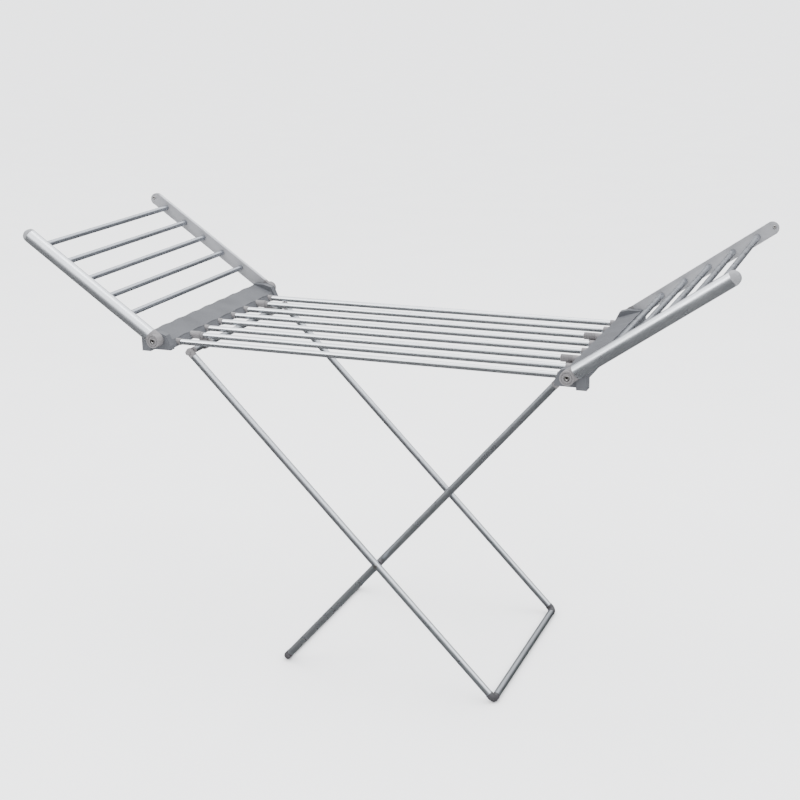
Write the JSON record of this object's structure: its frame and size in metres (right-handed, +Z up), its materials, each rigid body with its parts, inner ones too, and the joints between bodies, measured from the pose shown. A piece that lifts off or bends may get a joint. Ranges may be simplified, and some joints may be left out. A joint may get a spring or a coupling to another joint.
{
  "type": "clothes drying rack",
  "caption": "Folding winged clothes drying rack: a flat bed of round bars, two raised wings of bars and crossed tubular leg frames.",
  "frame": {"origin": "on the floor under the middle of the rack", "axes": "+X along the long centre bars to the right wing, +Y from front to back, +Z up"},
  "size_m": [1.4714, 0.54, 0.9298],
  "materials": {
    "bar_aluminium": "satin",
    "rail_aluminium": "satin",
    "leg_aluminium": "satin",
    "housing_plastic": "matte",
    "fitting_plastic": "matte",
    "strip_plastic": "matte",
    "elbow_plastic": "matte",
    "screw_steel": "satin"
  },
  "bodies": {
    "centre_section": {"centre_bar_1": "bar_aluminium", "centre_bar_2": "bar_aluminium", "centre_bar_3": "bar_aluminium", "centre_bar_4": "bar_aluminium", "centre_bar_5": "bar_aluminium", "centre_bar_6": "bar_aluminium", "centre_bar_7": "bar_aluminium", "centre_bar_8": "bar_aluminium", "end_tray_left": "housing_plastic", "end_cover_left": "housing_plastic", "end_blocks_left": "housing_plastic", "bar_ferrules_left": "fitting_plastic", "end_tray_right": "housing_plastic", "end_cover_right": "housing_plastic", "end_blocks_right": "housing_plastic", "bar_ferrules_right": "fitting_plastic", "pivot_brackets": "fitting_plastic", "catch_brackets": "fitting_plastic", "pivot_cross_tube": "leg_aluminium", "catch_cross_tube": "leg_aluminium", "pivot_tube_plugs": "fitting_plastic", "catch_tube_plugs": "fitting_plastic", "leg_pivot_pins": "screw_steel", "wing_hinge_pins": "screw_steel", "housing_screws": "screw_steel"},
    "left_wing": {"wing_left_rail_front": "rail_aluminium", "wing_left_rail_back": "rail_aluminium", "wing_left_strips": "strip_plastic", "wing_left_knuckles": "fitting_plastic", "wing_left_top_caps": "fitting_plastic", "wing_left_cap_screws": "screw_steel", "wing_left_bar_1": "bar_aluminium", "wing_left_bar_2": "bar_aluminium", "wing_left_bar_3": "bar_aluminium", "wing_left_bar_4": "bar_aluminium", "wing_left_bar_5": "bar_aluminium"},
    "right_wing": {"wing_right_rail_front": "rail_aluminium", "wing_right_rail_back": "rail_aluminium", "wing_right_strips": "strip_plastic", "wing_right_knuckles": "fitting_plastic", "wing_right_top_caps": "fitting_plastic", "wing_right_cap_screws": "screw_steel", "wing_right_bar_1": "bar_aluminium", "wing_right_bar_2": "bar_aluminium", "wing_right_bar_3": "bar_aluminium", "wing_right_bar_4": "bar_aluminium", "wing_right_bar_5": "bar_aluminium"},
    "wide_frame": {"wide_leg_front": "leg_aluminium", "wide_leg_back": "leg_aluminium", "wide_foot_bar": "leg_aluminium", "wide_elbows": "elbow_plastic", "wide_top_caps": "fitting_plastic", "crossing_rivets": "screw_steel", "crossing_spacers": "elbow_plastic"},
    "narrow_frame": {"narrow_leg_front": "leg_aluminium", "narrow_leg_back": "leg_aluminium", "narrow_foot_bar": "leg_aluminium", "narrow_elbows": "elbow_plastic", "narrow_top_caps": "fitting_plastic"}
  },
  "joints": [
    {"name": "left_wing_fold", "type": "hinge", "parent": "centre_section", "child": "left_wing", "pos_m": [-0.435, 0, 0.715], "axis": [0, 1, 0], "range_deg": [0, 144]},
    {"name": "right_wing_fold", "type": "hinge", "parent": "centre_section", "child": "right_wing", "pos_m": [0.435, 0, 0.715], "axis": [0, -1, 0], "range_deg": [0, 144]},
    {"name": "leg_fold", "type": "hinge", "parent": "centre_section", "child": "wide_frame", "pos_m": [-0.377, 0, 0.686], "axis": [0, -1, 0], "range_deg": [0, 45]},
    {"name": "leg_cross", "type": "hinge", "parent": "wide_frame", "child": "narrow_frame", "pos_m": [0.03, 0, 0.26727], "axis": [0, -1, 0], "range_deg": [0, 84.15]}
  ],
  "couplings": [
    {"joint": "leg_cross", "follows": "leg_fold", "ratio": 1.87}
  ]
}
